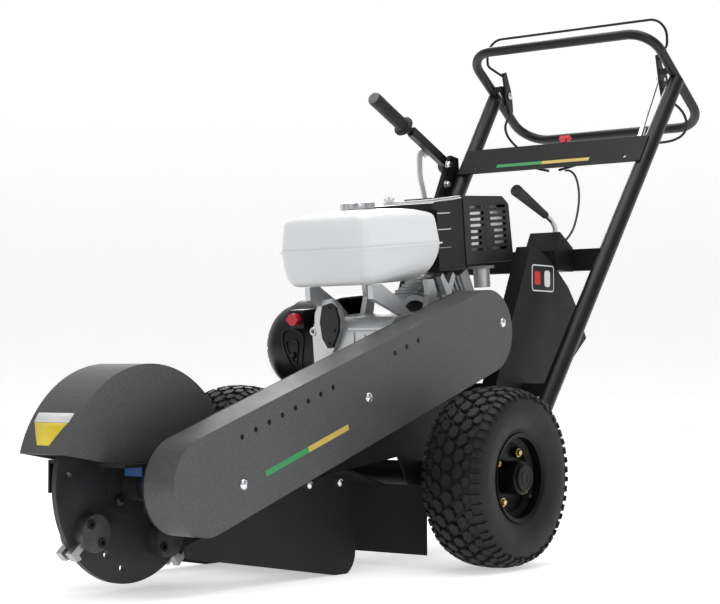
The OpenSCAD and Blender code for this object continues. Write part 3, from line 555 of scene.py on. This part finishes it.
def add_side_ridges(bm):
    """Thin rings on each sidewall, by the rim and at the widest place."""
    for r, x, proud in ((87.5, 53.6, 1), (126, 63.25, 0)):
        for k in (-1, 1):
            ridge = [(r - 1.2, k * (x - 0.6)), (r - 0.5, k * (x + 0.35 * proud)),
                     (r + 0.5, k * (x + 0.5 * proud)), (r + 1.2, k * (x - 0.4))]
            rings = round_the_wheel(ridge, 96)
            rings_to_mesh(bm, rings if k < 0 else rings[::-1], cap_start=False, cap_end=False)


def make_tyre(side):
    bm = bmesh.new()
    add_carcass(bm)
    add_tread(bm)
    add_lugs(bm)
    add_side_ridges(bm)
    bmesh.ops.recalc_face_normals(bm, faces=bm.faces)
    add_piece(f"tyre_tread_{side}", bm, WHEELS[side], "tyre", f"{side}_wheel",
              replaces=(f"tyre_{side}",), sharp=38)


def make_wheel_parts(side):
    """Four nuts, the hub cap and the tyre valve."""
    wheel = WHEELS[side]
    rim_face, bolt_circle_r = 31.1, 50.8
    bm = bmesh.new()
    for i in range(4):
        a = radians(59.4 + 90 * i)
        place = moved(rim_face, bolt_circle_r * cos(a), bolt_circle_r * sin(a))
        lathe(bm, [(9.5, -7.7), (9.7, -7.4), (9.7, -1), (8.8, 0.2)], 6, place)
        lathe(bm, [(5.2, 0.2), (5.2, 4.2), (4.3, 5)], 20, place)
    add_piece(f"wheel_nuts_{side}", bm, wheel, "brass", f"{side}_wheel", bevel=0.5)
    bm = bmesh.new()
    lathe(bm, [(24.6, 60.9), (24.2, 62.1), (20.5, 62.5), (19.5, 61.6), (13, 61.6), (12.4, 62.5), (8.5, 62.6),
               (7.8, 61.8), (0.2, 62)], 48)
    add_piece(f"hub_cap_{side}", bm, wheel, "rim_black", f"{side}_wheel")
    bm = bmesh.new()
    a = radians(-35)
    stem = [Vector((x, r * cos(a), r * sin(a))) for x, r in ((24, 66), (33, 66), (40, 62.5))]
    sweep(bm, stem, [5.4, 4.2, 3.6])
    add_piece(f"valve_stem_{side}", bm, wheel, "grip_rubber", f"{side}_wheel")


# ---------------------------------------------------------------- fuel tank


def tank_ring(half_x, half_y, corner, z, steps=10):
    return [Vector((p[0], p[1], z)) for p in round_outline(-half_x, half_x, -half_y, half_y, corner, steps)]


def make_tank():
    """Two pressed halves with a flange between; the rear of the lower half is stepped up."""
    bm = bmesh.new()
    centre = moved(0, -75, 0)
    seam, floor, step = 196, 127.2, 32
    levels = [
        (66, 86, 16, floor), (84, 104, 18, 127.8), (93, 113, 20, 130.5), (98, 118, 20, 136),
        (101, 121, 19, 146), (103.5, 123.5, 18, 165), (105.2, 125, 18, 184), (106, 125.5, 18, seam - 2.3),
        (111, 131, 22, seam - 2), (111, 131, 22, seam + 2), (106, 125.5, 18, seam + 2.3),
        (104.8, 124.2, 18, 212), (102.8, 122.2, 18, 232), (101.2, 120.7, 18, 245), (99.8, 119.2, 18, 250.6),
        (96.6, 116, 18, 255), (90, 110, 18, 258.6), (72, 92, 17, 264.6), (48, 68, 15, 268.6),
        (20, 34, 10, 270)]
    rings = []
    for level in levels:
        ring = tank_ring(*level)
        for p in ring:
            back = min(max((p.y - 70) / 44, 0), 1)
            depth = min(max((seam - p.z) / (seam - floor), 0), 1)
            p.z += step * depth * back * back * (3 - 2 * back)
        rings.append([centre @ p for p in ring])
    rings_to_mesh(bm, rings)
    add_piece("tank_shell", bm, ENGINE, "tank_white", "chassis", replaces=("fuel_tank",), sharp=50)
    bm = bmesh.new()
    lathe(bm, [(29, 268.2), (29, 270.4), (26.4, 270.6), (26.4, 268)], 48, moved(0, -79, 0) @ turned(-90, "Y"))
    add_piece("tank_neck", bm, ENGINE, "cap_alloy", "chassis")


def make_cap():
    """Knurled cap: steps of (radius, height, depth of the knurling)."""
    bm = bmesh.new()
    up = moved(0, -79, 270.4) @ turned(-90, "Y")
    steps = 108
    rings = []
    for r, x, wave in ((31.5, 0, 0), (33.2, 0.8, 1), (33.4, 10.5, 1), (32, 12.6, 0.5), (28.5, 13.6, 0),
                       (24, 13.2, 0), (21.5, 14.6, 0), (8, 14.9, 0), (0.2, 14.9, 0)):
        ring = []
        for i in range(steps):
            a = 2 * pi * i / steps
            reach = r + wave * 0.6 * cos(18 * a)
            ring.append(up @ Vector((x, reach * cos(a), reach * sin(a))))
        rings.append(ring)
    rings_to_mesh(bm, rings)
    add_piece("cap_knurled", bm, ENGINE, "cap_alloy", "tank_cap", replaces=("fuel_cap",))


# ---------------------------------------------------------------- engine covers


def rounded_slot(bm, y1, y2, z, half, x1, x2):
    """Round-ended bar of height 2 * half along Y, from x1 to x2."""
    prism(bm, round_outline(y1, y2, z - half, z + half, half * 0.98, 4), x1, x2)


def cut_guard_slots(bm):
    """Two columns of slots in the outer wall; three rows are shorter beside the oval boss."""
    tools = bmesh.new()
    pitch, top, half = 12.3, 262.6, 2.9
    for row in range(8):
        z = top - row * pitch
        beside_boss = 12 if row in (4, 5, 6) else 0
        rounded_slot(tools, 174, 226 - beside_boss, z, half, 84, 96)
        rounded_slot(tools, 248 + beside_boss, 307, z, half, 84, 96)
    return cut_away(bm, tools)


def add_oval_boss(bm):
    """Low dished boss between the slot columns: steps of (size, x)."""
    y, z, half_y, half_z, steps = 238, 201, 13, 21, 32
    turns = [2 * pi * i / steps for i in range(steps)]
    rings_to_mesh(bm, [[Vector((x, y + half_y * grow * cos(a), z + half_z * grow * sin(a))) for a in turns]
                       for grow, x in ((1, 89.9), (0.94, 91.2), (0.78, 92.2), (0.5, 91.8), (0.2, 91.2))])


def make_muffler_guard():
    """Hollow slotted guard, and the bright skin that shows through its slots."""
    bm = bmesh.new()
    prism(bm, [(153, 148), (321, 148), (327, 164), (320, 266), (297, 283), (153, 287)], -56, 90)
    tools = bmesh.new()
    prism(tools, [(155, 150), (319, 150), (325, 164), (318, 264.8), (296, 281), (155, 285)], -60, 88)
    bm = cut_guard_slots(cut_away(bm, tools))
    add_oval_boss(bm)
    add_piece("muffler_guard_slotted", bm, ENGINE, "guard_matt", "chassis", replaces=("muffler_guard",),
              bevel=0.9)
    bm = bmesh.new()
    for y1, y2 in ((176, 230), (246, 312)):
        prism(bm, round_outline(y1, y2, 182, 256, 8), 84, 85)
    add_piece("muffler_skin", bm, ENGINE, "zinc", "chassis", bevel=0.3)


def make_heat_shield():
    """Black shield behind the tank, with its top lip."""
    bm = bmesh.new()
    prism(bm, [(60, 140), (151, 140), (151, 281), (60, 277)], -66, 88)
    tools = bmesh.new()
    prism(tools, [(62, 138), (149, 138), (149, 279), (62, 275)], -64, 86)
    bm = cut_away(bm, tools)
    prism(bm, [(44, 262), (61, 262), (61, 277), (44, 274.5)], -66, 88)
    add_piece("heat_shield_lipped", bm, ENGINE, "engine_black", "chassis", replaces=("heat_shield",),
              bevel=1.2)


def add_wing_nut(bm, x, y, z):
    lathe(bm, [(8, 0), (8, 1.4), (4.6, 1.8), (4.6, 7), (3, 7.4), (2.6, 13), (0.2, 13.2)], 20,
          moved(x, y, z) @ turned(-90, "Y"))
    wing = [(4, 4), (10, 11), (12.5, 10), (11, 4), (5, 1.4)]
    for side in (-1, 1):
        prism(bm, [(x + side * out, z + up) for out, up in wing], y - 1.1, y + 1.1, axis="Y")


def make_shield_wires_and_painted_slit_light():
    """Bright strips painted on the shield's side as the light that shows through its slits, the two wires
    along its top edge and the wing nut.
    """
    bm = bmesh.new()
    # painted light: these thin bright strips stand in for the light that shows through the shield's slits
    for z, back, half in ((254, 106, 1.0), (222, 106, 1.0), (186, 104, 0.35)):
        rounded_slot(bm, 61.5, back, z, half, 87.6, 88.35)
    for lift, out in ((0, 0), (3.4, -3)):
        wire = smooth_path([(-30, 46 - out, 277.5 + lift), (30, 46 - out, 277.5 + lift),
                            (80 + out, 46 - out, 277.5 + lift), (87.5 + out, 53, 278 + lift),
                            (88 + out, 100, 280.5 + lift), (88 + out, 147, 283 + lift)], 6)
        sweep(bm, wire, 1.5, 8)
    add_wing_nut(bm, -16, 46, 280)
    add_piece("shield_brightwork", bm, ENGINE, "bright_zinc", "chassis", sharp=30)


def make_crankcase_front():
    """Cast flange, bolt ears and low ribs on the front of the crankcase."""
    bm = bmesh.new()
    flange = [(-30, 30), (-18, 46), (6, 50), (24, 38), (30, 12), (28, -14), (10, -50), (-8, -52), (-24, -36),
              (-33, -8)]
    loop = smooth_path(flange + flange[:3], 5)[5:-11]
    prism(bm, [(-60 + p.x, 50 + p.y) for p in loop], -118, -104, axis="Y")
    for x, z in ((-98, 38), (-84, 96), (-28, -8)):
        lathe(bm, [(8.5, 0), (8.5, 13), (7.5, 14), (4, 14), (4, 6), (0.2, 6)], 28,
              moved(x, -105, z) @ turned(-90, "Z"))
    lathe(bm, [(11, 0), (11, 9), (10, 10), (5, 10), (5, 3), (0.2, 3)], 28,
          moved(-86, -112, 118) @ turned(-90, "Z"))
    for x, top in ((-6, 34), (20, 30), (46, 36)):
        prism(bm, round_outline(x - 2, x + 2, -70, top, 1.9, 3), -110.5, -104, axis="Y")
    prism(bm, round_outline(-18, 70, 38, 44, 2.9, 3), -111, -104, axis="Y")
    add_piece("crankcase_front", bm, ENGINE, "engine_alloy", "chassis", bevel=1.0)


def make_crankcase_cover():
    """Dark waisted cover on the flange, with three screws."""
    x, z = -54, 50
    bm = bmesh.new()
    cover = [(-14, 38), (6, 43), (20, 33), (25, 10), (23, -12), (6, -44), (-6, -45), (-18, -26), (-22, 6)]
    prism(bm, [(x + dx, z + dz) for dx, dz in cover], -124, -117, axis="Y")
    for dx, dz in ((4, 34), (-1, -36), (14, -10)):
        lathe(bm, [(3.2, 0), (3.2, 2.4), (2.4, 3), (0.2, 3)], 18,
              moved(x + dx, -123.5, z + dz) @ turned(-90, "Z"))
    add_piece("crankcase_cover", bm, ENGINE, "bolt_black", "chassis", bevel=1.6)


def make_housing_ribs():
    """Two three-cornered ribs that lie on the fan housing's round front, with a nut in the middle."""
    housing_r = 98
    bm = bmesh.new()
    for corners in ([(-196, 34), (-142, 26), (-164, -52)], [(-186, 18), (-156, 14), (-166, -26)]):
        path = smooth_path(corners + corners[:3], 6)[6:-5]
        sweep(bm, [Vector((p.x, -sqrt(housing_r ** 2 - p.y ** 2), p.y)) for p in path], 2.0, 8)
    lathe(bm, [(7, 0), (7, 5), (5, 7), (0.2, 7)], 6, moved(-168, -96, -10) @ turned(-90, "Z"))
    add_piece("fan_housing_ribs", bm, ENGINE, "engine_black", "chassis")


def make_recoil_shell():
    """Domed starter cover with radial slots; its rear is cut flat where the pull grip rests."""
    bm = bmesh.new()
    dome = [(88, -205.2), (88, -221), (86.5, -232), (83, -242), (76, -253), (66, -263), (54, -271),
            (38, -278), (20, -282), (0.3, -284)]
    inside = [(max(r - 2.5, 0.2), x + 2.2) for r, x in dome[:-1]] + [(0.3, -281.5)]
    lathe(bm, dome, 72)
    tools = bmesh.new()
    block(tools, -300, -234, 22, 120, -120, 120)
    lathe(tools, inside, 72)
    bm = cut_away(bm, tools)
    tools = bmesh.new()
    for angle in range(8, 360, 20):
        if 60 < angle < 300:
            block(tools, -290, -225, -3, 3, 56, 78, turned(angle))
    bm = cut_away(bm, tools)
    for r, foot, rise, fall, end in ((31, -274, -281, -279.8, -274), (50, -268, -274.5, -273, -266)):
        lathe(bm, [(r - 1.6, foot), (r - 1.6, rise), (r + 1.6, fall), (r + 1.6, end)], 48)
    add_piece("recoil_shell", bm, ENGINE, "engine_black", "chassis", replaces=("recoil_cover",), bevel=0.5)


# ---------------------------------------------------------------- cables

# name: (diameter, route of the cable), the same routes as the CAD's cables
CABLES = {
    "bail_cable_right": (6, [
        (-204, 852, 966), (-206, 841, 952), (-207, 836, 936), (-204, 839, 919), (-196, 846, 903),
        (-184, 854, 888), (-166, 846, 874), (-138, 812, 858), (-96, 760, 838), (-46, 716, 818),
        (-6, 703, 808)]),
    "bail_cable_left": (6, [
        (204, 852, 966), (205, 876, 968), (208, 897, 963), (215, 908, 954), (221, 918, 941),
        (223, 926, 924), (220, 929, 908), (212, 925, 894), (201, 912, 884), (188, 895, 878),
        (166, 862, 872), (132, 812, 858), (92, 760, 838), (52, 720, 818), (20, 703, 808)]),
    "stop_wire": (5, [
        (40, 700, 806), (58, 692, 802), (76, 684, 786), (94, 666, 752), (106, 642, 712),
        (112, 612, 668), (112, 580, 640), (106, 552, 620)])}


def make_cables():
    for name, (diameter, route) in CABLES.items():
        path = smooth_path(route, 5)
        bm = bmesh.new()
        sweep(bm, path, diameter / 2, 14)
        piece = add_piece(name, bm, WORLD, "cable_black", "chassis", replaces=("control_cables",))


# ---------------------------------------------------------------- stripes and plain labels

GUARD_FACE = 180.0      # outer face of the belt guard, along X


def flat_patch(name, outline, x, material, place):
    """Thin patch on a face that looks along X."""
    bm = bmesh.new()
    prism(bm, outline, x, x + 0.25)
    add_piece(name, bm, place, material, "chassis")


def make_stripes():
    """Two-tone stripes on the guard and the crossbar, with no letters."""
    for name, u1, u2, colour in (("guard_stripe_front", 138, 256, "stripe_green"),
                                 ("guard_stripe_rear", 256, 372, "stripe_yellow")):
        flat_patch(name, [(u1, -34), (u2, -34), (u2, -24), (u1, -24)], GUARD_FACE, colour, GUARD)
    for name, x1, x2, colour in (("bar_stripe_right", -134, -14, "stripe_green"),
                                 ("bar_stripe_left", -14, 108, "stripe_yellow")):
        bm = bmesh.new()
        block(bm, x1, x2, -4.25, -4.0, 11, 20)
        add_piece(name, bm, CROSSBAR, colour, "chassis")


def make_upright_label():
    """Blank label of a few plain blocks, with no symbols."""
    side = 154.3
    flat_patch("upright_label_edge", round_outline(374, 460, 522, 577, 8), side, "label_white", WORLD)
    flat_patch("upright_label_field", round_outline(376.5, 457.5, 524.5, 574.5, 6), side + 0.2, "bolt_black",
               WORLD)
    flat_patch("upright_label_mark", round_outline(384, 406, 536, 563, 5), side + 0.4, "label_red", WORLD)
    flat_patch("upright_label_block", round_outline(422, 444, 532, 566, 7), side + 0.4, "label_white",
               WORLD)


def make_guard_screws_and_hole_shade():
    """Dark discs painted as the shade inside the guard's two rows of holes, and its three dome screws."""
    long_row = [(100 + 36 * i, 48.7 + 0.24 * i) for i in range(8)]
    short_row = [(543.5 + 38 * i, 52.5 + 0.3 * i) for i in range(3)]
    bm = bmesh.new()
    # painted shade: flat dark discs over the holes stand in for the shade inside them
    for u, v in long_row + short_row:
        lathe(bm, [(4.7, GUARD_FACE - 0.2), (4.7, GUARD_FACE + 0.15), (4.3, GUARD_FACE + 0.3),
                   (0.2, GUARD_FACE + 0.2)], 24, moved(0, u, v))
    add_piece("guard_plugs", bm, GUARD, "rim_black", "chassis")
    bm = bmesh.new()
    for u, v in ((79, -25.5), (442, 2), (902, 3)):
        lathe(bm, [(9.4, 0), (9.4, 1.2), (8.7, 3.2), (6.9, 5), (4.4, 6), (4.2, 4.2), (0.2, 4)], 36,
              moved(GUARD_FACE, u, v))
    add_piece("guard_screw_heads", bm, GUARD, "zinc", "chassis")


def make_hood_label():
    """Blank two-part label on the hood's front; each span is (angle, x from, x to)."""
    reach = 197.3
    band = [(143.2, -43, 38), (145.8, -43, 37), (148.4, -43, 36)]
    point = [(148.6, -41, 34), (152.4, -33, 26), (156.2, -25, 18), (160, -17, 10)]
    for name, colour, spans in (("hood_label_band", "label_white", band),
                                ("hood_label_point", "label_yellow", point)):
        rows = []
        for angle, x1, x2 in spans:
            y, z = reach * cos(radians(angle)), reach * sin(radians(angle))
            rows.append([Vector((x1, y, z)), Vector((x2, y, z))])
        bm = bmesh.new()
        rings_to_mesh(bm, rows, closed_ring=False, cap_start=False, cap_end=False)
        piece = add_piece(name, bm, CUTTER, colour, "chassis")
        thick = piece.modifiers.new("thick", "SOLIDIFY")
        thick.thickness = 0.0004
        thick.offset = 0


# ---------------------------------------------------------------- levers and grips


def make_link_strap():
    """Flat silver strap from the large lever down through its guide, bent over at the top."""
    half, outer, inner = 8.5, -289, -284.6
    path = smooth_path([(622, 857), (607, 861), (598, 853), (597, 830), (600, 800), (610, 774), (620, 740),
                        (632, 690), (644, 622), (650, 590)], 5)
    left, right = [], []
    for i, p in enumerate(path):
        ahead = (path[min(i + 1, len(path) - 1)] - path[max(i - 1, 0)]).normalized()
        across = Vector((-ahead.y, ahead.x, 0)) * half
        left.append(p - across)
        right.append(p + across)
    bm = bmesh.new()
    prism(bm, [(p.x, p.y) for p in left + right[::-1]], outer, inner)
    lathe(bm, [(5.4, 0), (5.4, 3), (4, 4.4), (0.2, 4.4)], 20, moved(inner - 0.2, 618, 858))
    add_piece("link_strap", bm, WORLD, "bright_zinc", "link", replaces=("link_rod",), bevel=0.8)


def make_bracket_bolts():
    bm = bmesh.new()
    for y, z in ((658, 835), (653, 789)):
        hex_head(bm, moved(-252, y, z), 13, 8, washer=9)
    add_piece("lever_bracket_bolts", bm, WORLD, "zinc", "chassis", bevel=0.4)


def make_brake_rod():
    """Smooth bright sleeve over the small lever's bent rod."""
    bm = bmesh.new()
    path = smooth_path([(134, 500, 628), (134, 500, 645), (134, 499, 658), (134, 492, 668), (134, 480, 676),
                        (134, 466, 682), (134, 452, 687.4)], 6)
    sweep(bm, path, 5.3, 20)
    add_piece("brake_lever_rod", bm, WORLD, "bright_zinc", "brake_handle")


def make_control_box():
    """Box with a tilted section, slotted on top for the small lever."""
    bm = bmesh.new()
    prism(bm, [(483, 650), (535, 619), (536, 568), (474, 568), (461, 609)], 82, 156)
    tools = bmesh.new()
    block(tools, 127.5, 140.5, 484, 516, 606, 670)
    add_piece("control_box_tilted", cut_away(bm, tools), WORLD, "frame_black", "chassis",
              replaces=("control_box",), bevel=2.2)


def ribbed(start, pitch, count, depth, first_r, taper=0.0, step=0.0):
    """Lathe points of fine ribs on a rod or cone; taper is the growth of its radius along x."""
    profile = []
    for i in range(count):
        x = start + i * pitch
        r = first_r + (x - start) * taper
        profile += [(r, x), (r - depth, x + 0.9), (r - depth, x + 1.7), (r + step, x + 2.6)]
    return profile


def make_lever_grip():
    """Flanged grip on the large lever, drawn back from the lever's free end, and its end cap."""
    pivot = Vector((-278, 686, 838))
    end = Vector((-278, 409, 963))
    along = (end - pivot).normalized()
    place = moved(*end) @ along.to_track_quat("X", "Z").to_matrix().to_4x4()
    bm = bmesh.new()
    profile = [(8.3, -127), (22.5, -127), (23.8, -125.5), (23.8, -123), (22, -121.5), (15.4, -119)]
    profile += ribbed(-113, 4.8, 18, 0.5, 15.6)
    profile += [(15.9, -25), (15.9, -8), (15, -2.5), (12.5, -0.6), (0.3, -0.2)]
    lathe(bm, profile, 40, place)
    add_piece("lever_grip_ribbed", bm, WORLD, "grip_rubber", "swing_handle", replaces=("lever_grip",))
    bm = bmesh.new()
    lathe(bm, [(13.6, -1), (13.6, 0.2), (12.6, 0.7), (5, 0.7), (4.6, 0), (0.2, -0.1)], 36, place)
    add_piece("lever_end_cap", bm, WORLD, "cap_grey", "swing_handle")


def make_brake_grip():
    """Cone grip on the small lever, wider towards its free end."""
    bm = bmesh.new()
    place = moved(134, 466, 682) @ turned(69) @ turned(-90, "Y")
    profile = [(5.6, 4), (7.3, 4.4), (8, 7)]
    profile += ribbed(14, 4.9, 20, 0.35, 7.995, taper=0.0395, step=0.05)
    profile += [(12.2, 116), (12.6, 127.6), (12, 129.4), (10, 129.8), (8, 129), (0.3, 128.8)]
    lathe(bm, profile, 36, place)
    add_piece("brake_grip_cone", bm, WORLD, "grip_rubber", "brake_handle", replaces=("brake_grip",))


# ---------------------------------------------------------------- main

MATERIALS = make_materials()
make_camera()
make_cables()
make_studio()
dress_nodes()
for wheel_side in ("left", "right"):
    make_tyre(wheel_side)
    make_wheel_parts(wheel_side)
make_tank()
make_cap()
make_muffler_guard()
make_heat_shield()
make_shield_wires_and_painted_slit_light()
make_crankcase_front()
make_crankcase_cover()
make_housing_ribs()
make_recoil_shell()
make_stripes()
make_upright_label()
make_guard_screws_and_hole_shade()
make_hood_label()
make_lever_grip()
make_link_strap()
make_bracket_bolts()
make_brake_rod()
make_control_box()
make_brake_grip()
